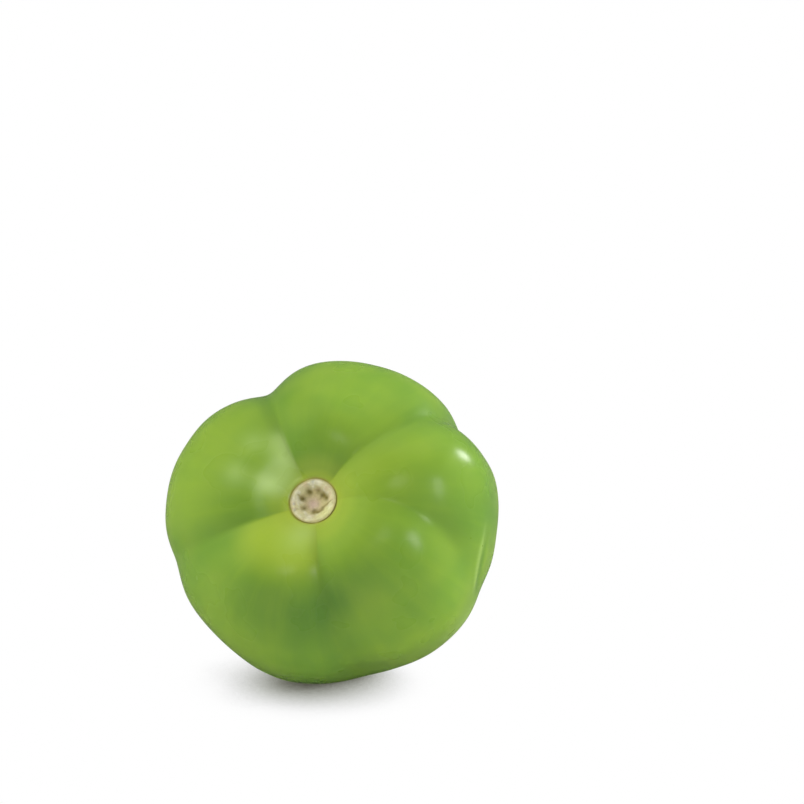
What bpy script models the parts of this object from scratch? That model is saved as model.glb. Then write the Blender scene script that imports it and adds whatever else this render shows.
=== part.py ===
"""Tomatillo, husk off: one whole green fruit, lying on its side.

The fruit grew as one piece, so it is one closed solid. Five soft lobes are parted by grooves
that start in the hollow round the stem scar, cross the shoulders and fade towards the blossom
end. The surface is one formula of two angles, read on rings round the stem axis. The corky
scar is raised from that surface, and a small flat spot is cut where the fruit rests.

Run with blender --background --python part.py, or from Blender's text editor.
"""
from collections import namedtuple
from math import atan2, cos, radians, sin

import bmesh
import bpy
import numpy as np
from mathutils import Matrix, Vector

MM = 0.001

# Body, before the grooves and lobes take their share
HALF_WIDTH = 30.2 * MM          # stem axis to the widest ring
STEM_SIDE = 20.5 * MM           # widest ring to the top of the shoulders
BLOSSOM_SIDE = 25.5 * MM        # widest ring to the blossom end
STEM_FULLNESS = 2.3             # 2 is an ellipse, more is squarer
BLOSSOM_FULLNESS = 2.25
HOLLOW_DEPTH = 7.0 * MM         # round the stem scar
HOLLOW_REACH = 8.5 * MM
DIMPLE_DEPTH = 1.2 * MM         # round the blossom scar
DIMPLE_REACH = 6.0 * MM

# Grooves. Angles are in degrees: round the stem axis from the fruit's right, anticlockwise as
# seen from the stem end, or, for swing_from and gone_by, down from the stem end.
Groove = namedtuple("Groove", "angle swing swing_from on_face on_side width softness gone_by")
GROOVES = [
    Groove(53, -12, 15, 3.4 * MM, 4.6 * MM, 20, 1.5, 160),
    Groove(120, 3, 15, 4.0 * MM, 6.6 * MM, 20, 4, 160),
    Groove(206, -6, 15, 3.0 * MM, 2.1 * MM, 20, 2, 160),
    Groove(283, 1, 15, 3.6 * MM, 4.1 * MM, 20, 7, 148),
    Groove(8, -28, 15, 1.5 * MM, 1.8 * MM, 15, 6, 160),
]

# How much further each lobe's middle reaches than the plain body
Lobe = namedtuple("Lobe", "angle reach half_width")
LOBES = [
    Lobe(79, -2.2 * MM, 30),
    Lobe(158, -0.8 * MM, 30),
    Lobe(232, -1.9 * MM, 30),
    Lobe(305, -1.6 * MM, 28),
    Lobe(0, -2.0 * MM, 28),
]

# Places that are a little fuller than the rest, by angle round the axis and down from the stem end
Bulge = namedtuple("Bulge", "angle down reach half_width")
BULGES = [
    Bulge(282, 136, 1.6 * MM, 18),      # belly that the fruit lies on
    Bulge(16, 60, 1.8 * MM, 22),        # three shoulders
    Bulge(240, 45, 2.0 * MM, 22),
    Bulge(90, 35, 1.0 * MM, 16),
]

# Stem scar: a raised corky disc with the pits of the sap vessels and a low button in the middle
SCAR_RADIUS = 3.65 * MM
SCAR_OVAL = 0.035               # share that it gains one way and loses across
SCAR_LONG_WAY = 28              # angle of its longer way
SCAR_RISE = 0.35 * MM
SCAR_EDGE_DEPTH = 0.2 * MM      # fine line round the ring, sunk in the skin
SCAR_EDGE_WIDTH = 0.2 * MM
Pit = namedtuple("Pit", "angle from_axis reach depth")
PITS = [
    Pit(24, 2.10 * MM, 0.42 * MM, 0.40 * MM),
    Pit(46, 1.85 * MM, 0.50 * MM, 0.50 * MM),
    Pit(78, 1.95 * MM, 0.44 * MM, 0.30 * MM),
    Pit(123, 2.00 * MM, 0.50 * MM, 0.50 * MM),
    Pit(168, 2.15 * MM, 0.46 * MM, 0.50 * MM),
    Pit(215, 2.00 * MM, 0.42 * MM, 0.30 * MM),
    Pit(275, 1.50 * MM, 0.46 * MM, 0.35 * MM),
]
BUTTON_RADIUS = 0.9 * MM

# Blossom scar: a small ring left by the flower's style
STYLE_RADIUS = 0.9 * MM
STYLE_RISE = 0.25 * MM

# Pose: the stem end points to the front, tilted up and to the left
STEM_UP = 28.6
STEM_LEFT = 13.1
MIDDLE = Vector((-0.36, -2.95, 28.15)) * MM   # of the widest ring, over the flat spot's centre
SNAP = 0.02 * MM                            # points this near the cut are moved onto it

# Grid
SEGMENTS = 84
SCAR_RINGS = [0.5, 0.9, 1.2, 1.5, 1.8, 2.1, 2.4, 2.8, 3.2, 3.5, 3.8, 4.2]      # mm from the axis
BODY_RINGS = range(22, 173, 4)                                                # degrees
STYLE_RINGS = [2.4, 1.5, 1.1, 0.8, 0.4]                                       # mm from the axis

SKIN_COLOUR = (0.235, 0.402, 0.053, 1)
CORK_COLOUR = (0.552, 0.511, 0.296, 1)


def smoothstep(value, start, end):
    """0 up to start and 1 from end, with an S-curve between."""
    t = np.clip((value - start) / (end - start), 0, 1)
    return t * t * (3 - 2 * t)


def turned(angle):
    """An angle, brought between minus and plus half a turn."""
    return (angle + np.pi) % (2 * np.pi) - np.pi


def body(down, power, half_width, depth):
    """Distance from the middle to a squarish ellipse, at an angle down from the stem end."""
    across = np.abs(np.sin(down)) / half_width
    along = np.abs(np.cos(down)) / depth
    return (across ** power + along ** power) ** (-1 / power)


def groove_depth(groove, down, around):
    """Depth of one groove: a crease on the face that widens into a trough on the side."""
    swing = groove.swing * smoothstep(down, radians(groove.swing_from), radians(95))
    off = turned(around - np.radians(groove.angle + swing))
    soft = np.radians(1 + groove.softness * smoothstep(down, radians(25), radians(90)))
    across = np.exp(-(np.sqrt(off ** 2 + soft ** 2) - soft) / radians(groove.width))
    starts = 1 - np.exp(-1.3 * np.clip(down - radians(13), 0, None) / radians(25))
    to_side = smoothstep(down, radians(40), radians(90))
    fades = 1 - 0.93 * smoothstep(down, radians(85), radians(groove.gone_by))
    return across * starts * fades * (groove.on_face + (groove.on_side - groove.on_face) * to_side)


def lobe_reach(lobe, down, around):
    """Extra reach of one lobe: a bell round its middle, strongest on the fruit's side."""
    on_side = smoothstep(down, radians(20), radians(70)) * (1 - smoothstep(down, radians(100), radians(165)))
    off = turned(around - radians(lobe.angle))
    return lobe.reach * on_side * np.exp(-(off / radians(lobe.half_width)) ** 2)


def bulge_reach(bulge, down, around):
    """Extra reach of one bulge: a bell round one direction, by the angle from it."""
    middle = radians(bulge.down)
    sideways = np.cos(around - radians(bulge.angle))
    cosine = np.cos(down) * cos(middle) + np.sin(down) * sin(middle) * sideways
    away = np.arccos(np.clip(cosine, -1, 1))
    return bulge.reach * np.exp(-(away / radians(bulge.half_width)) ** 2)


def skin_radius(down, around):
    """Distance from the fruit's middle to its skin."""
    stem_half = body(down, STEM_FULLNESS, HALF_WIDTH, STEM_SIDE)
    blossom_half = body(down, BLOSSOM_FULLNESS, HALF_WIDTH, BLOSSOM_SIDE)
    hollow = HOLLOW_DEPTH * np.exp(-(stem_half * np.sin(down) / HOLLOW_REACH) ** 2)
    dimple = DIMPLE_DEPTH * np.exp(-(blossom_half * np.sin(down) / DIMPLE_REACH) ** 2)
    radius = np.where(np.cos(down) > 0, stem_half - hollow, blossom_half - dimple)
    for groove in GROOVES:
        radius = radius - groove_depth(groove, down, around)
    for lobe in LOBES:
        radius = radius + lobe_reach(lobe, down, around)
    for bulge in BULGES:
        radius = radius + bulge_reach(bulge, down, around)
    return radius


def scar_edge(around):
    """Distance from the stem axis to the edge of the stem scar, a slight oval."""
    return SCAR_RADIUS * (1 + SCAR_OVAL * np.cos(2 * (around - radians(SCAR_LONG_WAY))))


def pit_depth(pit, from_axis, around):
    """Depth of one pit in the stem scar: a bell round the pit's middle."""
    apart = from_axis ** 2 + pit.from_axis ** 2
    apart = apart - 2 * from_axis * pit.from_axis * np.cos(around - radians(pit.angle))
    return pit.depth * np.exp(-apart / pit.reach ** 2)


def scar_relief(from_axis, around):
    """Height of the stem scar over the skin: disc, button and pits, and the sunk line round it."""
    edge = scar_edge(around)
    disc = SCAR_RISE * (1 - smoothstep(from_axis, edge - 0.5 * MM, edge))
    line = SCAR_EDGE_DEPTH * np.exp(-((from_axis - edge) / SCAR_EDGE_WIDTH) ** 2)
    button = 0.5 * SCAR_RISE * np.exp(-(from_axis / BUTTON_RADIUS) ** 2)
    height = disc - line + button
    for pit in PITS:
        height = height - pit_depth(pit, from_axis, around)
    return height


def style_relief(from_axis):
    """Height of the blossom scar's small ring over the skin."""
    return STYLE_RISE * np.exp(-((from_axis - STYLE_RADIUS) / (0.4 * STYLE_RADIUS)) ** 2)


def surface(down, around):
    """Points of the finished surface, in the fruit's own frame: right, up, towards the stem."""
    radius = skin_radius(down, around)
    from_axis = radius * np.sin(down)
    along = radius * np.cos(down)
    along = along + np.where(np.cos(down) > 0, scar_relief(from_axis, around), -style_relief(from_axis))
    return np.stack([from_axis * np.cos(around), from_axis * np.sin(around), along], axis=-1)


def ring_angles():
    """Angle of each ring down from the stem end, close together over the two scars."""
    scar_height = STEM_SIDE - HOLLOW_DEPTH
    style_height = BLOSSOM_SIDE - DIMPLE_DEPTH
    scar = [atan2(mm * MM, scar_height) for mm in SCAR_RINGS]
    sides = [radians(angle) for angle in BODY_RINGS]
    style = [radians(180) - atan2(mm * MM, style_height) for mm in STYLE_RINGS]
    return scar + sides + style


def fruit_mesh():
    """Closed mesh of the surface: a grid of rings with a fan at each end."""
    rings = ring_angles()
    around = np.arange(SEGMENTS) * 2 * np.pi / SEGMENTS
    grid = surface(np.array(rings)[:, None], around[None, :]).reshape(-1, 3)
    ends = surface(np.array([0.0, np.pi]), np.zeros(2))
    stem_end, blossom_end = len(grid), len(grid) + 1
    last = (len(rings) - 1) * SEGMENTS
    faces = []
    for one in range(SEGMENTS):
        other = (one + 1) % SEGMENTS
        faces.append((stem_end, one, other))
        for start in range(0, last, SEGMENTS):
            faces.append((start + one, start + SEGMENTS + one, start + SEGMENTS + other, start + other))
        faces.append((blossom_end, last + other, last + one))
    mesh = bpy.data.meshes.new("tomatillo")
    mesh.from_pydata(np.vstack([grid, ends]).tolist(), [], faces)
    return mesh


def pose():
    """Matrix from the fruit's own frame to the world, where it lies on its side."""
    left, up = radians(STEM_LEFT), radians(STEM_UP)
    stem = Vector((-sin(left) * cos(up), -cos(left) * cos(up), sin(up)))
    top = (Vector((0, 0, 1)) - stem.z * stem).normalized()
    right = top.cross(stem)
    turn = Matrix((right, top, stem)).transposed()
    return Matrix.Translation(MIDDLE) @ turn.to_4x4()


def cut_flat_spot(bm, to_world):
    """Takes off what lies under the surface that the fruit rests on, and closes the cut."""
    to_fruit = to_world.inverted()
    centre = to_fruit @ Vector()
    normal = to_fruit.to_3x3() @ Vector((0, 0, 1))
    geometry = bm.verts[:] + bm.edges[:] + bm.faces[:]
    bmesh.ops.bisect_plane(
        bm, geom=geometry, dist=SNAP, plane_co=centre, plane_no=normal, clear_inner=True
    )
    for vert in bm.verts:
        if vert.is_boundary:
            vert.co -= normal * normal.dot(vert.co - centre)
    rim = [edge for edge in bm.edges if edge.is_boundary]
    return bmesh.ops.contextual_create(bm, geom=rim)["faces"]


def colour_faces(bm):
    """Cork on the two scars, skin on the rest."""
    for face in bm.faces:
        middle = face.calc_center_median()
        edge = scar_edge(atan2(middle.y, middle.x)) if middle.z > 0 else STYLE_RADIUS
        face.material_index = int(middle.xy.length < edge)


def material(name, colour, roughness):
    """A plain Principled material."""
    made = bpy.data.materials.new(name)
    made.use_nodes = True
    shader = made.node_tree.nodes["Principled BSDF"]
    shader.inputs["Base Color"].default_value = colour
    shader.inputs["Roughness"].default_value = roughness
    shader.inputs["Metallic"].default_value = 0
    return made


def build_tomatillo():
    """The fruit, as one object in the pose it rests in."""
    mesh = fruit_mesh()
    mesh.materials.append(material("skin", SKIN_COLOUR, 0.3))
    mesh.materials.append(material("scar_cork", CORK_COLOUR, 0.75))
    to_world = pose()
    bm = bmesh.new()
    bm.from_mesh(mesh)
    colour_faces(bm)
    for face in bm.faces:
        face.smooth = True
    for face in cut_flat_spot(bm, to_world):
        face.smooth = False
        face.material_index = 0
    bm.to_mesh(mesh)
    bm.free()
    fruit = bpy.data.objects.new("tomatillo", mesh)
    bpy.context.scene.collection.objects.link(fruit)
    fruit.matrix_world = to_world
    return fruit


for old in list(bpy.data.objects):
    bpy.data.objects.remove(old)
build_tomatillo()
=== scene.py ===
"""Looks of the tomatillo: waxy lobed skin, corky stem scar and blossom scar, in studio light."""
from collections import namedtuple
from math import cos, pi, radians, sin

import bpy
import numpy as np
from mathutils import Matrix, Vector


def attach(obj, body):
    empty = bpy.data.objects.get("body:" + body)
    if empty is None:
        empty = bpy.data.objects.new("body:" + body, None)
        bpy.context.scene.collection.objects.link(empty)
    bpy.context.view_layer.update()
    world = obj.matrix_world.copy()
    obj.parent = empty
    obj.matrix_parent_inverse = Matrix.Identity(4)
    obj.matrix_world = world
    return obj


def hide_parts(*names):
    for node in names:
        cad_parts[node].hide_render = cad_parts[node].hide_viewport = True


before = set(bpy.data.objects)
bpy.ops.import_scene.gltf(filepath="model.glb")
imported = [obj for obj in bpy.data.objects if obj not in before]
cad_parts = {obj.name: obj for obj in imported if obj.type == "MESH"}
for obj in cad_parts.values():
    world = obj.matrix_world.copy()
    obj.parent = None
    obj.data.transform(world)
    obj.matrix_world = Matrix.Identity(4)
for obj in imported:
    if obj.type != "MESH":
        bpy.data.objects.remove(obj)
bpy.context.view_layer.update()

# Skin. The fruit's whole outside is one smooth, waxy skin over firm flesh, which grew in five
# lobes with grooves between them. It is yellow round the stem, and greener on the flanks.

MM = 0.001
HALF_WIDTH = 30.2 * MM          # stem axis to the widest ring
STEM_SIDE = 20.5 * MM           # widest ring to the top of the shoulders
BLOSSOM_SIDE = 25.5 * MM        # widest ring to the blossom end
STEM_FULLNESS = 2.3             # 2 is an ellipse, more is squarer
BLOSSOM_FULLNESS = 2.25
HOLLOW_DEPTH = 7.0 * MM         # round the stem scar
HOLLOW_REACH = 8.5 * MM
DIMPLE_DEPTH = 1.2 * MM         # round the blossom scar
DIMPLE_REACH = 6.0 * MM

# Angles are in degrees: round the stem axis from the fruit's right, anticlockwise as seen from
# the stem end, or, for swing_from and gone_by, down from the stem end.
Groove = namedtuple("Groove", "angle swing swing_from on_face on_side width softness gone_by")
GROOVES = [
    Groove(53, -12, 15, 3.4 * MM, 4.6 * MM, 20, 1.5, 160),
    Groove(120, 3, 15, 4.0 * MM, 6.6 * MM, 20, 4, 160),
    Groove(206, -6, 15, 3.0 * MM, 2.1 * MM, 20, 2, 160),
    Groove(283, 1, 15, 3.6 * MM, 4.1 * MM, 20, 7, 148),
    Groove(8, -28, 15, 1.5 * MM, 1.8 * MM, 15, 6, 160),
]
Lobe = namedtuple("Lobe", "angle reach half_width")
LOBES = [
    Lobe(79, -2.2 * MM, 30),
    Lobe(158, -0.8 * MM, 30),
    Lobe(232, -1.9 * MM, 30),
    Lobe(305, -1.6 * MM, 28),
    Lobe(0, -2.0 * MM, 28),
]
Bulge = namedtuple("Bulge", "angle down reach half_width")
BULGES = [
    Bulge(282, 136, 1.6 * MM, 18),      # belly that the fruit lies on
    Bulge(16, 60, 1.8 * MM, 22),        # three shoulders
    Bulge(240, 45, 2.0 * MM, 22),
    Bulge(90, 35, 1.0 * MM, 16),
]

STEM_UP = 28.6
STEM_LEFT = 13.1
MIDDLE = Vector((-0.36, -2.95, 28.15)) * MM    # of the widest ring, over the flat spot's centre

SCAR_RADIUS = 3.65 * MM
SCAR_OVAL = 0.035               # share that it gains one way and loses across
SCAR_LONG_WAY = 28              # angle of its longer way
SCAR_BED_DEPTH = 0.6 * MM       # the skin dips under the cork
LIP_HEIGHT = 0.12 * MM          # of the skin's edge round the cork
LIP_WIDTH = 0.45 * MM

WAVE_COUNT = 40                 # gentle unevenness of the skin
WAVE_LENGTHS = (5.0 * MM, 13.0 * MM)
WAVE_HEIGHT = 0.035 * MM
WAVE_SEED = 7
SKIN_GRID = (400, 240)          # rings, points round each ring
RING_CROWDING = 0.55            # 0 spaces the rings evenly, more crowds them over the two scars

FOLD_DOWN = 78                  # a fine fold of the skin on the fruit's right: where it starts,
FOLD_RUN = 14                   # how much further down it ends,
FOLD_FAR = -24                  # the angle round the axis where it does,
FOLD_ENDS = ((-27, -19), (-11, 5))      # and the angles between which it fades at either end
FOLD_HEIGHT = 0.06 * MM
FOLD_WIDTH = 0.80 * MM
FOLD_TROUGH = 2 * FOLD_WIDTH    # from its crest to the shallow trough below it
FOLD_HIGHLIGHT = 0.32                 # share of painted highlight on its crest
FOLD_SHADE = 0.7                # share of painted shade in its trough


def smoothstep(value, start, end):
    """0 up to start and 1 from end, with an S-curve between."""
    t = np.clip((value - start) / (end - start), 0, 1)
    return t * t * (3 - 2 * t)


def bell_curve(value, middle, reach):
    """1 at the middle, falling off on both sides as exp(-(distance/reach)^2)."""
    return np.exp(-((value - middle) / reach) ** 2)


def turned(angle):
    """An angle, brought between minus and plus half a turn."""
    return (angle + np.pi) % (2 * np.pi) - np.pi


def body(down, power, half_width, depth):
    """A squarish ellipse: the sum of |sin/half_width| and |cos/depth|, each to the power, is 1."""
    across = np.abs(np.sin(down)) / half_width
    along = np.abs(np.cos(down)) / depth
    return (across ** power + along ** power) ** (-1 / power)


def groove_offset(groove, down, around):
    """Angle from a groove's line, which swings round the axis on its way down the side."""
    swing = groove.swing * smoothstep(down, radians(groove.swing_from), radians(95))
    return turned(around - np.radians(groove.angle + swing))


def groove_depth(groove, down, around):
    """A crease, exp(-|offset|/width), rounded at its bottom, that widens towards the side."""
    off = groove_offset(groove, down, around)
    soft = np.radians(1 + groove.softness * smoothstep(down, radians(25), radians(90)))
    across = np.exp(-(np.sqrt(off ** 2 + soft ** 2) - soft) / radians(groove.width))
    starts = 1 - np.exp(-1.3 * np.clip(down - radians(13), 0, None) / radians(25))
    to_side = smoothstep(down, radians(40), radians(90))
    fades = 1 - 0.93 * smoothstep(down, radians(85), radians(groove.gone_by))
    return across * starts * fades * (groove.on_face + (groove.on_side - groove.on_face) * to_side)


def lobe_reach(lobe, down, around):
    """A bell round the lobe's middle, strongest on the fruit's side."""
    starts = smoothstep(down, radians(20), radians(70))
    fades = 1 - smoothstep(down, radians(100), radians(165))
    off = turned(around - radians(lobe.angle))
    return lobe.reach * starts * fades * bell_curve(off, 0, radians(lobe.half_width))


def bulge_reach(bulge, down, around):
    """Extra reach of one bulge: a bell round one direction, by the angle from it."""
    middle = radians(bulge.down)
    sideways = np.cos(around - radians(bulge.angle))
    cosine = np.cos(down) * cos(middle) + np.sin(down) * sin(middle) * sideways
    away = np.arccos(np.clip(cosine, -1, 1))
    return bulge.reach * bell_curve(away, 0, radians(bulge.half_width))


def skin_radius(down, around):
    """Distance from the fruit's middle: squarish ellipse less hollow, dimple and grooves, plus lobes."""
    stem_half = body(down, STEM_FULLNESS, HALF_WIDTH, STEM_SIDE)
    blossom_half = body(down, BLOSSOM_FULLNESS, HALF_WIDTH, BLOSSOM_SIDE)
    hollow = HOLLOW_DEPTH * bell_curve(stem_half * np.sin(down), 0, HOLLOW_REACH)
    dimple = DIMPLE_DEPTH * bell_curve(blossom_half * np.sin(down), 0, DIMPLE_REACH)
    radius = np.where(np.cos(down) > 0, stem_half - hollow, blossom_half - dimple)
    for groove in GROOVES:
        radius = radius - groove_depth(groove, down, around)
    for lobe in LOBES:
        radius = radius + lobe_reach(lobe, down, around)
    for bulge in BULGES:
        radius = radius + bulge_reach(bulge, down, around)
    return radius


def scar_edge(around):
    """Distance from the stem axis to the cork's edge: a slight oval."""
    return SCAR_RADIUS * (1 + SCAR_OVAL * np.cos(2 * (around - radians(SCAR_LONG_WAY))))


def unevenness(points, seed, lengths, height):
    """Sum of plane waves in seeded random directions, each with its own length and phase."""
    draw = np.random.default_rng(seed)
    directions = draw.normal(size=(WAVE_COUNT, 3))
    directions /= np.linalg.norm(directions, axis=1, keepdims=True)
    lengths = draw.uniform(*lengths, WAVE_COUNT)
    phases = draw.uniform(0, 2 * np.pi, WAVE_COUNT)
    turns = points @ (directions * (2 * np.pi / lengths)[:, None]).T + phases
    return height * (np.sin(turns) * lengths / lengths.mean()).sum(-1) / np.sqrt(WAVE_COUNT / 4)


def fold_distance(down, around):
    """Distance past the fold's line, which runs down as the square of the angle, and its strength."""
    angle = turned(around)
    share = np.clip(angle / radians(FOLD_FAR), 0, 1)
    line = radians(FOLD_DOWN) + radians(FOLD_RUN) * share ** 2
    slope = 2 * radians(FOLD_RUN) * share / radians(FOLD_FAR)
    (far_gone, far_full), (near_full, near_gone) = np.radians(FOLD_ENDS)
    strength = smoothstep(angle, far_gone, far_full) * (1 - smoothstep(angle, near_full, near_gone))
    return HALF_WIDTH * (down - line) / np.sqrt(1 + slope ** 2), strength


def skin_surface(down, around):
    """Skin points in the fruit's frame, with the bed under the cork, its lip and the unevenness."""
    radius = skin_radius(down, around)
    ways = np.stack(np.broadcast_arrays(
        np.sin(down) * np.cos(around), np.sin(down) * np.sin(around), np.cos(down)), axis=-1)
    from_axis = radius * np.sin(down)
    uneven = unevenness(ways * radius[..., None], WAVE_SEED, WAVE_LENGTHS, WAVE_HEIGHT)
    uneven = uneven * smoothstep(from_axis, SCAR_RADIUS, 3 * SCAR_RADIUS)
    past_fold, fold_strength = fold_distance(down, around)
    ridge = bell_curve(past_fold, 0, FOLD_WIDTH) - bell_curve(past_fold, FOLD_TROUGH, FOLD_WIDTH)
    points = ways * (radius + uneven + FOLD_HEIGHT * fold_strength * ridge)[..., None]
    at_stem = np.cos(down) > 0
    past_edge = from_axis - scar_edge(around)
    bed = SCAR_BED_DEPTH * (1 - smoothstep(past_edge, -0.5 * MM, 0))
    lip = LIP_HEIGHT * bell_curve(past_edge, LIP_WIDTH, LIP_WIDTH)
    points[..., 2] += np.where(at_stem, lip - bed, 0)
    return points


def fruit_to_world():
    """Matrix from the fruit's frame to the world, where the stem end faces front, up and left."""
    left, up = radians(STEM_LEFT), radians(STEM_UP)
    stem = Vector((-sin(left) * cos(up), -cos(left) * cos(up), sin(up)))
    top = (Vector((0, 0, 1)) - stem.z * stem).normalized()
    turn = Matrix((top.cross(stem), top, stem)).transposed()
    return Matrix.Translation(MIDDLE) @ turn.to_4x4()


def in_world(points):
    """Points of the fruit's frame, moved to the world, and none of them below the floor."""
    matrix = np.array(fruit_to_world())
    moved = points @ matrix[:3, :3].T + matrix[:3, 3]
    moved[..., 2] = np.maximum(moved[..., 2], 0)
    return moved


def grid_mesh(name, points, first_pole, last_pole):
    """Mesh of a grid of rings, [ring, point, xyz], wrapped round, with a fan to a pole at each end."""
    rings, count = points.shape[:2]
    index = np.arange(rings * count).reshape(rings, count)
    after = np.roll(index, -1, axis=1)
    quads = np.stack([index[:-1], index[1:], after[1:], after[:-1]], axis=-1).reshape(-1, 4)
    pole_a = np.full(count, rings * count)
    pole_b = pole_a + 1
    fan_a = np.stack([pole_a, index[0], after[0]], axis=-1)
    fan_b = np.stack([pole_b, after[-1], index[-1]], axis=-1)
    corners = np.concatenate([quads.ravel(), fan_a.ravel(), fan_b.ravel()])
    sizes = np.concatenate([np.full(len(quads), 4), np.full(2 * count, 3)])
    vertices = np.vstack([points.reshape(-1, 3), first_pole, last_pole])
    mesh = bpy.data.meshes.new(name)
    mesh.vertices.add(len(vertices))
    mesh.vertices.foreach_set("co", vertices.ravel())
    mesh.loops.add(len(corners))
    mesh.loops.foreach_set("vertex_index", corners.astype(np.int32))
    mesh.polygons.add(len(sizes))
    mesh.polygons.foreach_set("loop_start", np.concatenate([[0], np.cumsum(sizes)[:-1]]).astype(np.int32))
    mesh.update(calc_edges=True)
    mesh.shade_smooth()
    return mesh


def point_value(mesh, name, values):
    """Stores one number for each point, for the material to read."""
    store = mesh.attributes.new(name, "FLOAT", "POINT")
    store.data.foreach_set("value", np.ascontiguousarray(values, dtype=np.float32).ravel())


def point_vector(mesh, name, values):
    """Stores one vector for each point, for the material to read."""
    store = mesh.attributes.new(name, "FLOAT_VECTOR", "POINT")
    store.data.foreach_set("vector", np.ascontiguousarray(values, dtype=np.float32).ravel())


def node(tree, kind, inputs=None, **settings):
    """Adds a shader node, with its settings and with a value or a link for each named input."""
    made = tree.nodes.new(kind)
    for name, value in settings.items():
        setattr(made, name, value)
    for name, value in (inputs or {}).items():
        if isinstance(value, bpy.types.NodeSocket):
            tree.links.new(value, made.inputs[name])
        else:
            made.inputs[name].default_value = value
    return made


def ramp(tree, value, stops, smooth=True):
    """Colour ramp through (place, colour) stops, where a colour is a triple or a grey level."""
    made = node(tree, "ShaderNodeValToRGB", {"Fac": value})
    made.color_ramp.interpolation = "EASE" if smooth else "LINEAR"
    elements = made.color_ramp.elements
    while len(elements) < len(stops):
        elements.new(0.5)
    for element, (place, colour) in zip(elements, stops):
        element.position = place
        element.color = (*colour, 1) if isinstance(colour, tuple) else (colour, colour, colour, 1)
    return made.outputs["Color"]


def mix(tree, share, first, second, blend="MIX"):
    """Mixes two colours; share is how much of the second."""
    made = node(tree, "ShaderNodeMix", data_type="RGBA", blend_type=blend)
    for socket, value in ((made.inputs[0], share), (made.inputs[6], first), (made.inputs[7], second)):
        if isinstance(value, bpy.types.NodeSocket):
            tree.links.new(value, socket)
        else:
            socket.default_value = value if isinstance(value, (int, float)) else (*value, 1)
    return made.outputs[2]


def times(tree, value, factor):
    """A value that varies over the surface, multiplied by a number."""
    return node(tree, "ShaderNodeMath", {0: value, 1: factor}, operation="MULTIPLY").outputs[0]


def noise(tree, place, scale, detail):
    """Noise value between 0 and 1; scale is in features per metre on Object coordinates."""
    made = node(tree, "ShaderNodeTexNoise", {"Vector": place, "Scale": scale, "Detail": detail})
    return made.outputs["Fac"]


def attribute(tree, name, output="Fac"):
    """Reads a value stored on the mesh's points."""
    return node(tree, "ShaderNodeAttribute", attribute_name=name).outputs[output]


# Each lobe ripens on its own: how pale it is round the stem, or, below zero, how much painted shade
# darkens it there; from where down the side the tone fades and where it is gone; and the grooves it
# lies between, anticlockwise.
Tone = namedtuple("Tone", "paleness fades_from gone_by after before")
TONES = [
    # The top lobe's tone is below zero: painted shade on its inner slope, which faces away from the light.
    Tone(-0.30, 20, 50, GROOVES[0], GROOVES[1]),
    Tone(0.20, 15, 60, GROOVES[1], GROOVES[2]),
    Tone(1.00, 28, 44, GROOVES[2], GROOVES[3]),
    Tone(0.40, 20, 45, GROOVES[3], GROOVES[4]),
    Tone(0.40, 20, 50, GROOVES[4], GROOVES[0]),
]
# Patches of whitish wax, partly painted highlight and painted reflection of the floor, and patches of
# painted shade, each on one lobe.
Patch = namedtuple("Patch", "lobe angle down reach share")
WAX_AND_HIGHLIGHT_PATCHES = [
    Patch(TONES[1], 123, 33, 5.5, 0.6),
    Patch(TONES[1], 130, 25, 6, 0.7),
    Patch(TONES[1], 148, 19, 6, 0.4),
    Patch(TONES[1], 166, 23, 5.5, 0.85),
    Patch(TONES[1], 141, 38, 5, 0.25),
    Patch(TONES[1], 166, 36, 5, 0.35),
    Patch(TONES[2], 262, 19, 8, 0.35),
    Patch(TONES[3], 326, 104, 12, 0.3),
]
PAINTED_SHADE_PATCHES = [
    Patch(TONES[3], 287, 48, 10, 0.9),
    Patch(TONES[2], 279, 52, 12, 0.9),
    Patch(TONES[2], 245, 50, 16, 0.6),
    Patch(TONES[3], 312, 42, 9, 0.4),
    Patch(TONES[1], 195, 36, 14, 0.4),
    Patch(TONES[4], 354, 62, 9, 0.4),
    Patch(TONES[4], 4, 80, 12, 0.6),
]


def on_lobe(lobe, blur, down, around):
    """1 past the lobe's first groove line, and 1 past its last one."""
    enters = smoothstep(groove_offset(lobe.after, down, around), -blur, blur)
    leaves = smoothstep(groove_offset(lobe.before, down, around), -blur, blur)
    return enters, leaves


def lobe_tones(down, around):
    """Paleness, and painted shade where a tone is below zero: each lobe's tone between its grooves' lines,
    fading down its side.
    """
    tone = np.zeros(down.shape)
    blur = np.radians(2 + 10 * smoothstep(down, radians(20), radians(70)))
    for lobe in TONES:
        enters, leaves = on_lobe(lobe, blur, down, around)
        fades = 1 - smoothstep(down, radians(lobe.fades_from), radians(lobe.gone_by))
        tone = tone + lobe.paleness * enters * (1 - leaves) * fades
    return np.clip(tone, 0, 1), np.clip(-tone, 0, 1)


def patch_shares(patches, down, around):
    """Shares of the patches: a bell round each one's middle, by the angle from it, on its lobe only."""
    total = np.zeros(down.shape)
    for one in patches:
        enters, leaves = on_lobe(one.lobe, radians(3), down, around)
        bell = bulge_reach(Bulge(one.angle, one.down, one.share, one.reach), down, around)
        total = total + bell * enters * (1 - leaves)
    return np.clip(total, 0, 1)


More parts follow.
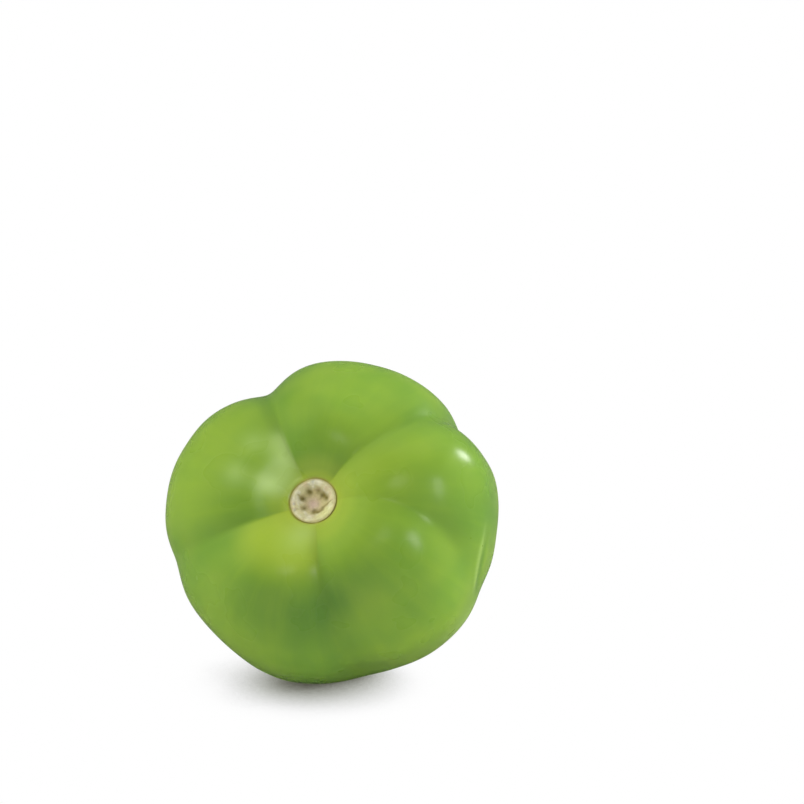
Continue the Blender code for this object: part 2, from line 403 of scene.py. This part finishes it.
YOUNG_GREEN = (0.29, 0.40, 0.036)       # round the stem
LOBE_GREEN = (0.148, 0.275, 0.028)
FLANK_GREEN = (0.128, 0.250, 0.028)
# Dark green of the painted shade in the grooves, on the top lobe's inner slope and in dark patches
GROOVE_SHADE_GREEN = (0.082, 0.185, 0.024)
SCAR_YELLOW = (0.34, 0.42, 0.045)       # halo round the cork
SCAR_OLIVE = (0.34, 0.31, 0.07)         # soft line round the cork
# Whitish green of the wax patches, also used as painted highlight
WAX_AND_HIGHLIGHT_GREEN = (0.40, 0.55, 0.18)
VEIN_GREEN = (0.24, 0.37, 0.03)
BODY_STOPS = [                          # by angle down from the stem end, where 1 is the blossom end
    (0.0, LOBE_GREEN), (0.26, LOBE_GREEN), (0.55, FLANK_GREEN), (0.85, LOBE_GREEN), (1.0, YOUNG_GREEN)]
HALO_REACH = 5 * MM                     # from the cork's edge to 1 in the next two rows of stops
HALO_STOPS = [(0.0, 0.9), (0.10, 0.6), (0.40, 0.3), (0.95, 0.0)]
LINE_STOPS = [(0.0, 0.9), (0.03, 0.7), (0.09, 0.0)]
MOTTLE_SCALE = 75
MOTTLE_STOPS = [(0.35, 0.0), (0.7, 1.0)]
MOTTLE_SHARE = 0.35                     # most that a mottle, the grooves' painted shade and a vein change the colour
GROOVE_SHADE_SHARE = 0.5
VEIN_SHARE = 0.18
VEIN_STOPS = [(0.42, 0.0), (0.75, 1.0)]
VEINS_ROUND = 9                         # the veins' noise is much finer round the fruit than down it
VEINS_DOWN = 1.2
GROOVE_SHADE_FULL = 4 * MM                    # depth where a groove has all of its painted shade
GROOVE_SHADE_REACH = 14                       # degrees from its line
SHEEN_SCALE = 120
SHEEN_STOPS = [(0.3, 0.26), (0.7, 0.34)]
PEEL_SCALE = 700
PEEL_STRENGTH = 0.05
PEEL_HEIGHT = 0.03 * MM


def skin_material():
    """Waxy skin: greens by distance from the stem, mottled, with painted shade in the grooves and patches,
    painted highlights on wax patches, faintly veined.
    """
    made = bpy.data.materials.new("waxy_skin")
    made.use_nodes = True
    tree = made.node_tree
    shader = tree.nodes["Principled BSDF"]
    place = node(tree, "ShaderNodeTexCoord").outputs["Object"]
    down = attribute(tree, "down")
    scar_gap = attribute(tree, "scar_gap")
    mottles = ramp(tree, noise(tree, place, MOTTLE_SCALE, 2.0), MOTTLE_STOPS)
    colour = mix(tree, times(tree, mottles, MOTTLE_SHARE), ramp(tree, down, BODY_STOPS), YOUNG_GREEN)
    colour = mix(tree, attribute(tree, "pale"), colour, YOUNG_GREEN)
    # Painted shade on the top lobe's inner slope.
    colour = mix(tree, attribute(tree, "lobe_shade"), colour, GROOVE_SHADE_GREEN)
    # Painted shade in dark patches on the lobes and in the fold's trough.
    colour = mix(tree, attribute(tree, "painted_shade"), colour, GROOVE_SHADE_GREEN)
    # Painted shade in the grooves, deeper where a groove is deeper.
    colour = mix(tree, times(tree, attribute(tree, "groove_shade"), GROOVE_SHADE_SHARE), colour, GROOVE_SHADE_GREEN)
    veins = ramp(tree, noise(tree, attribute(tree, "meridian", "Vector"), 1.0, 3.0), VEIN_STOPS)
    colour = mix(tree, times(tree, veins, VEIN_SHARE), colour, VEIN_GREEN)
    colour = mix(tree, ramp(tree, scar_gap, HALO_STOPS), colour, SCAR_YELLOW)
    # Whitish wax patches, partly painted highlight and reflection, and a painted highlight on the fold's
    # crest.
    colour = mix(tree, attribute(tree, "wax_and_highlight"), colour, WAX_AND_HIGHLIGHT_GREEN)
    colour = mix(tree, ramp(tree, scar_gap, LINE_STOPS), colour, SCAR_OLIVE)
    tree.links.new(colour, shader.inputs["Base Color"])
    sheen = ramp(tree, noise(tree, place, SHEEN_SCALE, 2.0), SHEEN_STOPS)
    tree.links.new(sheen, shader.inputs["Roughness"])
    bump = node(tree, "ShaderNodeBump", {
        "Height": noise(tree, place, PEEL_SCALE, 2.0), "Strength": PEEL_STRENGTH, "Distance": PEEL_HEIGHT})
    tree.links.new(bump.outputs["Normal"], shader.inputs["Normal"])
    shader.inputs["Metallic"].default_value = 0
    shader.inputs["IOR"].default_value = 1.32
    shader.inputs["Subsurface Weight"].default_value = 0.25
    shader.inputs["Subsurface Radius"].default_value = (0.9, 1.0, 0.25)
    shader.inputs["Subsurface Scale"].default_value = 2.0 * MM
    shader.inputs["Coat Weight"].default_value = 0.15
    shader.inputs["Coat Roughness"].default_value = 0.18
    return made


def groove_shade_share(down, around):
    """How much painted shade the grooves get: a groove's share of full depth, near its line only."""
    strongest = np.zeros(down.shape)
    for groove in GROOVES:
        share = np.clip(groove_depth(groove, down, around) / GROOVE_SHADE_FULL, 0, 1)
        near = bell_curve(groove_offset(groove, down, around), 0, radians(GROOVE_SHADE_REACH))
        strongest = np.maximum(strongest, share * near)
    return strongest


def skin_values(points, down, around):
    """The numbers that the material reads: for each, its grid, and its values at the two poles."""
    pale, lobe_shade = lobe_tones(down, around)
    past_fold, fold_strength = fold_distance(down, around)
    # Painted highlight along the fold's crest, where the ridge would catch the light.
    crest = FOLD_HIGHLIGHT * fold_strength * bell_curve(past_fold, 0, 0.7 * FOLD_WIDTH)
    # Painted shade in the shallow trough below the fold.
    trough = FOLD_SHADE * fold_strength * bell_curve(past_fold, FOLD_TROUGH, FOLD_WIDTH)
    past_scar = np.hypot(points[..., 0], points[..., 1]) - scar_edge(around)
    gap = np.where(down < np.pi / 2, np.clip(past_scar, 0, None), 1)
    return {
        "down": (down / np.pi, 0, 1),
        "groove_shade": (groove_shade_share(down, around), 0, 0),
        "pale": (pale, 0, 0),
        "lobe_shade": (lobe_shade, 0, 0),
        "wax_and_highlight": (np.maximum(patch_shares(WAX_AND_HIGHLIGHT_PATCHES, down, around), crest), 0, 0),
        "painted_shade": (np.maximum(patch_shares(PAINTED_SHADE_PATCHES, down, around), trough), 0, 0),
        "scar_gap": (gap / HALO_REACH, 0, 1),
    }


def make_skin():
    """Skin piece: the surface on rings that crowd together over the scars, with its material's values."""
    rings, count = SKIN_GRID
    steps = np.linspace(0, 1, rings + 2)[1:-1]
    down = np.pi * (steps - RING_CROWDING * np.sin(2 * np.pi * steps) / (2 * np.pi))[:, None]
    around = (np.arange(count) * 2 * np.pi / count)[None, :]
    points = skin_surface(down, around)
    poles = skin_surface(np.array([0.0, np.pi]), np.zeros(2))
    mesh = grid_mesh("skin", in_world(points), *in_world(poles))
    down_all, around_all = np.broadcast_arrays(down, around)
    for name, (values, at_stem, at_blossom) in skin_values(points, down_all, around_all).items():
        point_value(mesh, name, np.append(values, [at_stem, at_blossom]))
    meridian = np.stack([
        VEINS_ROUND * np.cos(around_all), VEINS_ROUND * np.sin(around_all), VEINS_DOWN * down_all], axis=-1)
    point_vector(mesh, "meridian", np.vstack([meridian.reshape(-1, 3), np.zeros((2, 3))]))
    mesh.materials.append(skin_material())
    piece = bpy.data.objects.new("skin", mesh)
    bpy.context.scene.collection.objects.link(piece)
    return piece


skin = make_skin()
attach(skin, "root")
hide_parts("tomatillo")

# Stem scar. Where the stalk came away, a disc of dry, pale cork has grown into the skin: a thick
# uneven rim round a lower middle, with small pits where the sap vessels ran, a low pinkish button
# and a crack that winds from the middle out across the rim.

RIM_INNER = 2.2 * MM
CORK_RISE = 0.3 * MM
CORK_SINK = 0.5 * MM            # the disc's underside, below the skin
Pit = namedtuple("Pit", "angle from_axis reach depth")
PITS = [
    Pit(24, 2.10 * MM, 0.42 * MM, 0.40 * MM),
    Pit(46, 1.85 * MM, 0.50 * MM, 0.50 * MM),
    Pit(78, 1.95 * MM, 0.44 * MM, 0.30 * MM),
    Pit(123, 2.00 * MM, 0.50 * MM, 0.50 * MM),
    Pit(168, 2.15 * MM, 0.46 * MM, 0.50 * MM),
    Pit(215, 2.00 * MM, 0.42 * MM, 0.30 * MM),
    Pit(275, 1.50 * MM, 0.46 * MM, 0.35 * MM),
    Pit(162, 2.75 * MM, 0.18 * MM, 0.15 * MM),
    Pit(214, 3.30 * MM, 0.20 * MM, 0.10 * MM),
]
DEEPEST_PIT = 0.5 * MM
BUTTON = Pit(215, 0.40 * MM, 1.0 * MM, -0.15 * MM)      # it rises, so its depth is below zero
CRACK_ANGLES = (285, 367)       # from the lowest pit to the rim's right
CRACK_START = 1.70 * MM
CRACK_OUTWARD = 1.35 * MM
CRACK_POWER = 8                 # the higher, the later it turns outwards
CRACK_WIDTH = 0.27 * MM
CRACK_DEPTH = 0.22 * MM
SUNNY_SIDE = 320                # where the rim is greener, and how far round, in degrees
SUNNY_REACH = 40
CRUMB_LENGTHS = (0.5 * MM, 1.5 * MM)
CRUMB_HEIGHT = 0.035 * MM
CRUMB_SEED = 3
Wave = namedtuple("Wave", "count phase height")     # round the axis
RIM_WANDER = [Wave(3, 0.7, 0.06), Wave(7, 2.1, 0.04)]
RIM_LUMPS = [Wave(5, 1.3, 0.2), Wave(11, 0.4, 0.15)]
RIM_INSIDE = 0.6 * MM           # the rim's slope, inside and outside its inner line
RIM_OUTSIDE = 0.25 * MM
MIDDLE_SHARE = 0.6              # height of the middle, as a share of the rim's
EDGE_FROM = 0.82                # share of the radius where the rim turns down
EDGE_DROP = 1.1                 # how far, as a share of its height: to just under the skin's lip
UNDER_SHARES = (0.96, 0.6)      # radii of the sunk underside, as shares of the cork's
Blotch = namedtuple("Blotch", "angle from_axis reach")
BLOTCHES = {
    "whitish": [
        Blotch(181, 3.3 * MM, 0.5 * MM), Blotch(261, 2.6 * MM, 0.5 * MM), Blotch(76, 3.1 * MM, 0.45 * MM)],
    "greyish": [
        Blotch(98, 3.2 * MM, 0.35 * MM), Blotch(194, 3.2 * MM, 0.22 * MM),
        Blotch(212, 3.4 * MM, 0.25 * MM)],
    "brownish": [
        Blotch(123, 3.1 * MM, 0.5 * MM), Blotch(50, 2.9 * MM, 0.5 * MM), Blotch(28, 2.9 * MM, 0.3 * MM)],
}
STAIN = 0.8                     # strength of most stains
SCAR_GRID = (110, 240)
SCAR_FEATURES = 2200            # cork grains in a metre


def cork_grain():
    """Node group of dry cork: crumbly fine height, and blotches that lighten and stain it."""
    group = bpy.data.node_groups.new("cork_grain", "ShaderNodeTree")
    face = group.interface
    face.new_socket(name="Place", in_out="INPUT", socket_type="NodeSocketVector")
    face.new_socket(name="Scale", in_out="INPUT", socket_type="NodeSocketFloat")
    face.new_socket(name="Height", in_out="OUTPUT", socket_type="NodeSocketFloat")
    face.new_socket(name="Blotch", in_out="OUTPUT", socket_type="NodeSocketFloat")
    enter = group.nodes.new("NodeGroupInput")
    leave = group.nodes.new("NodeGroupOutput")
    fine = node(group, "ShaderNodeTexNoise", {
        "Vector": enter.outputs["Place"], "Scale": enter.outputs["Scale"], "Detail": 6.0,
        "Roughness": 0.65})
    coarse = node(group, "ShaderNodeTexNoise", {
        "Vector": enter.outputs["Place"], "Scale": times(group, enter.outputs["Scale"], 0.35),
        "Detail": 2.0})
    group.links.new(fine.outputs["Fac"], leave.inputs["Height"])
    group.links.new(coarse.outputs["Fac"], leave.inputs["Blotch"])
    return group


CORK_GRAIN = cork_grain()
CORK_CREAM = (0.58, 0.55, 0.31)
CORK_WHITE = (0.66, 0.63, 0.46)
CORK_TAN = (0.55, 0.45, 0.28)
CORK_GREENISH = (0.60, 0.60, 0.26)
CORK_PINK = (0.74, 0.57, 0.45)
CORK_GREY = (0.40, 0.41, 0.34)
MIDDLE_OLIVE = (0.52, 0.46, 0.20)
EDGE_OLIVE = (0.40, 0.36, 0.13)
PIT_OLIVE_AND_SHADE = (0.20, 0.165, 0.03)
BLOTCH_PLACES = (0.32, 0.5, 0.68)       # of the three colours, in the grain's blotches
CRUMB_SHADE_STOPS = [(0.3, 0.85), (0.6, 1.0)]
CRUMB_BUMP = 0.1 * MM


def cork_material(name, blotches, stains, scale):
    """Dry cork: three colours in crumbly blotches, with a stain for each of the mesh's named values."""
    made = bpy.data.materials.new(name)
    made.use_nodes = True
    tree = made.node_tree
    shader = tree.nodes["Principled BSDF"]
    place = node(tree, "ShaderNodeTexCoord").outputs["Object"]
    grain = node(tree, "ShaderNodeGroup", node_tree=CORK_GRAIN)
    tree.links.new(place, grain.inputs["Place"])
    grain.inputs["Scale"].default_value = scale
    colour = ramp(tree, grain.outputs["Blotch"], list(zip(BLOTCH_PLACES, blotches)))
    for value, stain in stains:
        colour = mix(tree, attribute(tree, value), colour, stain)
    # Darker where the grain's height is low: partly the grain's own tone, partly painted shade in its
    # hollows.
    crumbs = ramp(tree, grain.outputs["Height"], CRUMB_SHADE_STOPS)
    colour = mix(tree, 1.0, colour, crumbs, "MULTIPLY")
    tree.links.new(colour, shader.inputs["Base Color"])
    bump = node(tree, "ShaderNodeBump", {
        "Height": grain.outputs["Height"], "Strength": 0.4, "Distance": CRUMB_BUMP})
    tree.links.new(bump.outputs["Normal"], shader.inputs["Normal"])
    shader.inputs["Roughness"].default_value = 0.75
    shader.inputs["Metallic"].default_value = 0
    return made


def waves_round(waves, around):
    """Sum of the waves round the axis, height * sin(count * angle + phase)."""
    return sum(wave.height * np.sin(wave.count * around + wave.phase) for wave in waves)


def bell_round(spot, from_axis, around):
    """1 at the middle of a pit or blotch, falling off as exp(-(distance/reach)^2)."""
    apart = from_axis ** 2 + spot.from_axis ** 2
    apart = apart - 2 * from_axis * spot.from_axis * np.cos(around - radians(spot.angle))
    return np.exp(-apart / spot.reach ** 2)


def crack_bell(from_axis, around):
    """1 on the crack, whose distance from the axis grows as a power of its share of the angle."""
    first, last = np.radians(CRACK_ANGLES)
    part = turned(around - first) / (last - first)
    line = CRACK_START + CRACK_OUTWARD * np.clip(part, 0, 1) ** CRACK_POWER
    ends = smoothstep(part, -0.1, 0.1) * (1 - smoothstep(part, 0.96, 1.04))
    return ends * bell_curve(from_axis, line, CRACK_WIDTH)


def scar_shape(share, around):
    """Height of the cork over its bed, and its stains, by share of the radius and angle."""
    from_axis = share * scar_edge(around)
    inner = RIM_INNER * (1 + waves_round(RIM_WANDER, around))
    rim = smoothstep(from_axis, inner - RIM_INSIDE, inner + RIM_OUTSIDE)
    edge = 1 - EDGE_DROP * smoothstep(share, EDGE_FROM, 1.0)
    lumps = 1 + waves_round(RIM_LUMPS, around)
    height = CORK_RISE * (MIDDLE_SHARE + (1 - MIDDLE_SHARE) * rim * lumps) * edge
    right, up = from_axis * np.cos(around), from_axis * np.sin(around)
    crumbs = unevenness(np.stack([right, up, 0 * right], axis=-1), CRUMB_SEED, CRUMB_LENGTHS, CRUMB_HEIGHT)
    height = height + crumbs * edge
    dark = np.zeros(height.shape)
    for pit in PITS:
        bell = bell_round(pit, from_axis, around)
        height = height - pit.depth * bell
        # The pits' olive stain grows with their depth, and the crack joins it: partly their own colour,
        # partly painted shade in these hollows.
        dark = dark + 0.95 * np.sqrt(pit.depth / DEEPEST_PIT) * bell
    crack = crack_bell(from_axis, around)
    button = bell_round(BUTTON, from_axis, around)
    height = height - CRACK_DEPTH * crack - BUTTON.depth * button
    sunny = rim * bell_curve(turned(around - radians(SUNNY_SIDE)), 0, radians(SUNNY_REACH))
    stains = {"middle": STAIN * (1 - rim), "sunny": STAIN * sunny}
    for name, blotches in BLOTCHES.items():
        bells = [bell_round(one, from_axis, around) for one in blotches]
        stains[name] = np.clip(STAIN * sum(bells), 0, 1)
    stains["button"] = button
    stains["rim_edge"] = STAIN * smoothstep(share, 0.88, 1.0) * np.ones_like(height)
    stains["pit"] = np.clip(dark + 0.6 * crack, 0, 1)
    return height, stains


def make_stem_scar():
    """Stem scar piece: a disc whose top has the scar's relief, closed underneath by a sunk bowl."""
    rings, count = SCAR_GRID
    around = (np.arange(count) * 2 * np.pi / count)[None, :]
    share = np.linspace(0, 1, rings + 1)[1:, None]
    height, stains = scar_shape(share, around)
    bed = STEM_SIDE - HOLLOW_DEPTH
    from_axis = share * scar_edge(around)
    bed_angle = np.arctan2(from_axis, bed)
    skin_height = skin_radius(bed_angle, around * np.ones_like(share)) * np.cos(bed_angle)
    top = np.stack([from_axis * np.cos(around), from_axis * np.sin(around), skin_height + height], axis=-1)
    under_axis = np.array(UNDER_SHARES)[:, None] * scar_edge(around)
    under = np.stack([under_axis * np.cos(around), under_axis * np.sin(around),
                      np.full((2, count), bed - CORK_SINK)], axis=-1)
    points = np.concatenate([top, under])
    pole_height, pole_stains = scar_shape(np.zeros(1), np.zeros(1))
    top_pole = np.array([0, 0, bed + pole_height[0]])
    under_pole = np.array([0, 0, bed - CORK_SINK])
    mesh = grid_mesh("stem_scar", in_world(points), in_world(top_pole), in_world(under_pole))
    for name, values in stains.items():
        whole = np.concatenate([values, np.zeros((2, count))])
        point_value(mesh, name, np.append(whole, [pole_stains[name][0], 0]))
    mesh.materials.append(cork_material("stem_cork", (CORK_TAN, CORK_CREAM, CORK_WHITE), [
        ("middle", MIDDLE_OLIVE), ("sunny", CORK_GREENISH), ("whitish", CORK_WHITE), ("greyish", CORK_GREY),
        ("brownish", CORK_TAN), ("button", CORK_PINK), ("rim_edge", EDGE_OLIVE), ("pit", PIT_OLIVE_AND_SHADE)],
        SCAR_FEATURES))
    piece = bpy.data.objects.new("stem_scar", mesh)
    bpy.context.scene.collection.objects.link(piece)
    return piece


stem_scar = make_stem_scar()
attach(stem_scar, "root")

# Blossom scar. The flower's style leaves a tiny brown ring of cork in a dimple at the far end,
# grown into the skin as the stem scar is.

STYLE_RADIUS = 0.9 * MM
STYLE_REACH = 1.25 * STYLE_RADIUS       # to the cork's edge
STYLE_RISE = 0.3 * MM
STYLE_SINK = 0.4 * MM                   # the cork's underside, below the skin
STYLE_WANDER = [Wave(3, 0.5, 0.07), Wave(8, 0, 0.05)]
STYLE_LUMPS = [Wave(6, 0, 0.25)]
STYLE_GRID = (40, 96)
STYLE_FEATURES = 4000                   # cork grains in a metre
STYLE_BROWN = (0.22, 0.14, 0.05)
STYLE_TAN = (0.33, 0.23, 0.09)
STYLE_DARK = (0.07, 0.045, 0.015)


def make_blossom_scar():
    """Blossom scar piece: a low ring round a dark pit, closed underneath."""
    rings, count = STYLE_GRID
    around = (np.arange(count) * 2 * np.pi / count)[None, :]
    share = np.linspace(0, 1, rings + 1)[1:, None]
    out = 1 + waves_round(STYLE_WANDER, around)
    from_axis = share * STYLE_REACH * out
    ring = bell_curve(share, 0.6, 0.22) * (1 + waves_round(STYLE_LUMPS, around))
    edge = 1 - smoothstep(share, 0.85, 1.0)
    pit = bell_curve(share, 0, 0.28) * np.ones_like(around)
    bed = BLOSSOM_SIDE - DIMPLE_DEPTH
    along = -(bed + STYLE_RISE * (0.3 * edge + 0.7 * ring * edge - 0.6 * pit))
    top = np.stack([from_axis * np.cos(around), -from_axis * np.sin(around), along], axis=-1)
    under_axis = 0.8 * STYLE_RADIUS * out
    under = np.stack([under_axis * np.cos(around), -under_axis * np.sin(around),
                      np.full((1, count), STYLE_SINK - bed)], axis=-1)
    points = np.concatenate([top, under])
    top_pole = np.array([0, 0, -bed + 0.3 * STYLE_RISE])
    under_pole = np.array([0, 0, STYLE_SINK - bed])
    mesh = grid_mesh("blossom_scar", in_world(points), in_world(top_pole), in_world(under_pole))
    plain = np.zeros((1, count))
    point_value(mesh, "pit", np.append(np.concatenate([pit, plain]), [1, 0]))
    mesh.materials.append(cork_material(
        "style_cork", (STYLE_BROWN, STYLE_TAN, CORK_TAN), [("pit", STYLE_DARK)], STYLE_FEATURES))
    piece = bpy.data.objects.new("blossom_scar", mesh)
    bpy.context.scene.collection.objects.link(piece)
    return piece


blossom_scar = make_blossom_scar()
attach(blossom_scar, "root")

# Floor. A plain white sweep of matte board, far larger than the view, on which the fruit lies.
# The camera sees it white, with a painted shadow where the fruit hides the room from it: an emission toned
# by ambient occlusion, not the lamps' shadow.

FLOOR_HALF = 1.5
FLOOR_WHITE = 0.75
FLOOR_IN_GLOSS = 0.12           # dimmer in reflections, as through a polarising filter
FLOOR_GLOW = 0.2                # the board is translucent and lit from below
PAINTED_SHADOW_REACH = 0.1               # how near things must be to darken the painted shadow, in metres
PAINTED_SHADOW_WAY = (0.3, 0.1, 0.95)    # the occlusion is measured round this way, tilted right and behind, so the painted shadow falls more to the fruit's left
PAINTED_SHADOW_TONES = [                 # painted shadow of the board, by how much of the room it sees
    (0.0, (0.04, 0.04, 0.03)), (0.10, (0.10, 0.10, 0.07)), (0.16, (0.37, 0.38, 0.34)),
    (0.25, (0.65, 0.66, 0.63)), (0.31, 0.79), (0.38, 0.95), (0.46, 1.0)]


def make_floor():
    """Floor: one flat square just under the fruit."""
    corners = np.array([(-1, -1, 0), (1, -1, 0), (1, 1, 0), (-1, 1, 0)], dtype=float) * FLOOR_HALF
    mesh = bpy.data.meshes.new("floor")
    mesh.from_pydata(corners.tolist(), [], [(0, 1, 2, 3)])
    made = bpy.data.materials.new("white_board")
    made.use_nodes = True
    tree = made.node_tree
    shader = tree.nodes["Principled BSDF"]
    rays = node(tree, "ShaderNodeLightPath")
    in_gloss = rays.outputs["Is Glossy Ray"]
    white = ramp(tree, in_gloss, [(0.0, FLOOR_WHITE), (1.0, FLOOR_IN_GLOSS)])
    tree.links.new(white, shader.inputs["Base Color"])
    shader.inputs["Roughness"].default_value = 0.9
    shader.inputs["Specular IOR Level"].default_value = 0.1
    tree.links.new(ramp(tree, in_gloss, [(0.0, 1.0), (1.0, 0.0)]), shader.inputs["Emission Color"])
    shader.inputs["Emission Strength"].default_value = FLOOR_GLOW
    # Painted shadow: camera rays see an emission toned by ambient occlusion, not the lamps' light.
    way = node(tree, "ShaderNodeCombineXYZ", dict(zip("XYZ", PAINTED_SHADOW_WAY))).outputs["Vector"]
    room_seen = node(tree, "ShaderNodeAmbientOcclusion", {
        "Distance": PAINTED_SHADOW_REACH, "Normal": way}, samples=16)
    tones = ramp(tree, room_seen.outputs["AO"], PAINTED_SHADOW_TONES, False)
    painted_shadow = node(tree, "ShaderNodeEmission", {"Color": tones})
    chosen = node(tree, "ShaderNodeMixShader", {"Fac": rays.outputs["Is Camera Ray"]})
    tree.links.new(shader.outputs["BSDF"], chosen.inputs[1])
    tree.links.new(painted_shadow.outputs["Emission"], chosen.inputs[2])
    tree.links.new(chosen.outputs["Shader"], tree.nodes["Material Output"].inputs["Surface"])
    mesh.materials.append(made)
    piece = bpy.data.objects.new("floor", mesh)
    bpy.context.scene.collection.objects.link(piece)
    return piece


make_floor()

# Lights. Wide soft screens at both sides and overhead give the shade. They are cross-polarised, so
# that they leave no glare, and small soft boxes in front of them put the highlights on the lobes.

ROOM_STRENGTH = 0.08
ROOM_IN_GLOSS = 0.18            # pale walls, that the skin reflects at its rims
Screen = namedtuple("Screen", "name right up across strength")      # degrees, and watts a square metre
SCREENS = [
    Screen("right_screen", 88, 20, 50, 3.1),
    Screen("left_screen", -86, 34, 60, 3.1),
    Screen("top_screen", 170, 68, 70, 1.6),
]
Lamp = namedtuple("Lamp", "name right up distance size power")
LAMPS = [
    Lamp("side_box", 115, 28, 0.9, 0.24, 2.8),
    Lamp("right_box", 43, 19, 0.9, 0.22, 1.0),
    Lamp("front_box", 0, 30, 0.9, 0.32, 0.5),
]


def way_to(right, up):
    """Direction of a light, by degrees to the viewer's right and degrees up."""
    right, up = radians(right), radians(up)
    return Vector((sin(right) * cos(up), -cos(right) * cos(up), sin(up)))


def place_light(name, light, way, distance):
    """Adds a light that shines on the fruit from a direction."""
    piece = bpy.data.objects.new(name, light)
    piece.location = MIDDLE + way * distance
    piece.rotation_euler = way.to_track_quat("Z", "Y").to_euler()
    bpy.context.scene.collection.objects.link(piece)
    return piece


def make_lamp(lamp):
    """Round area lamp."""
    light = bpy.data.lights.new(lamp.name, "AREA")
    light.shape = "DISK"
    light.size = lamp.size
    light.energy = lamp.power
    place_light(lamp.name, light, way_to(lamp.right, lamp.up), lamp.distance)


def make_screen(screen):
    """Wide far light, that diffuse shade sees and gloss doesn't."""
    light = bpy.data.lights.new(screen.name, "SUN")
    light.energy = screen.strength
    light.angle = radians(screen.across)
    piece = place_light(screen.name, light, way_to(screen.right, screen.up), 1.0)
    piece.visible_glossy = False


for screen in SCREENS:
    make_screen(screen)
for lamp in LAMPS:
    make_lamp(lamp)
room = bpy.data.worlds.new("dim_room")
room.use_nodes = True
rays = node(room.node_tree, "ShaderNodeLightPath")
walls = ramp(room.node_tree, rays.outputs["Is Glossy Ray"], [(0.0, ROOM_STRENGTH), (1.0, ROOM_IN_GLOSS)])
backdrop = mix(room.node_tree, rays.outputs["Is Camera Ray"], walls, (1, 1, 1))
room.node_tree.links.new(backdrop, room.node_tree.nodes["Background"].inputs["Color"])
bpy.context.scene.world = room
bpy.context.scene.view_settings.view_transform = "Standard"

# Camera. It looks slightly down through a long lens, and holds the fruit where the photograph does.
# It is turned and moved, not shifted, so that other views keep the fruit in the middle.

PICTURE_SIDE = 804              # pixels
FRUIT_PIXEL = (331, 523)        # middle of the fruit's outline
CAMERA_UP = 16
CAMERA_DISTANCE = 0.498
LENS = 135
SENSOR = 36
OUTLINE_SHIFT = (-0.60 * MM, -0.65 * MM)    # outline's middle from the fruit's, right and up

camera = bpy.data.cameras.new("camera")
camera.lens = LENS
camera.sensor_width = SENSOR
camera_up = radians(CAMERA_UP)
to_right = Vector((1, 0, 0))
to_top = Vector((0, sin(camera_up), cos(camera_up)))
to_back = Vector((0, -cos(camera_up), sin(camera_up)))
focal_pixels = LENS / SENSOR * PICTURE_SIDE
right_share = (FRUIT_PIXEL[0] - PICTURE_SIDE / 2) / focal_pixels
top_share = -(FRUIT_PIXEL[1] - PICTURE_SIDE / 2) / focal_pixels
seen_at = MIDDLE + to_right * OUTLINE_SHIFT[0] + to_top * OUTLINE_SHIFT[1]
viewer = bpy.data.objects.new("camera", camera)
viewer.location = seen_at - CAMERA_DISTANCE * (right_share * to_right + top_share * to_top - to_back)
viewer.rotation_euler = (pi / 2 - camera_up, 0, 0)
bpy.context.scene.collection.objects.link(viewer)
bpy.context.scene.camera = viewer
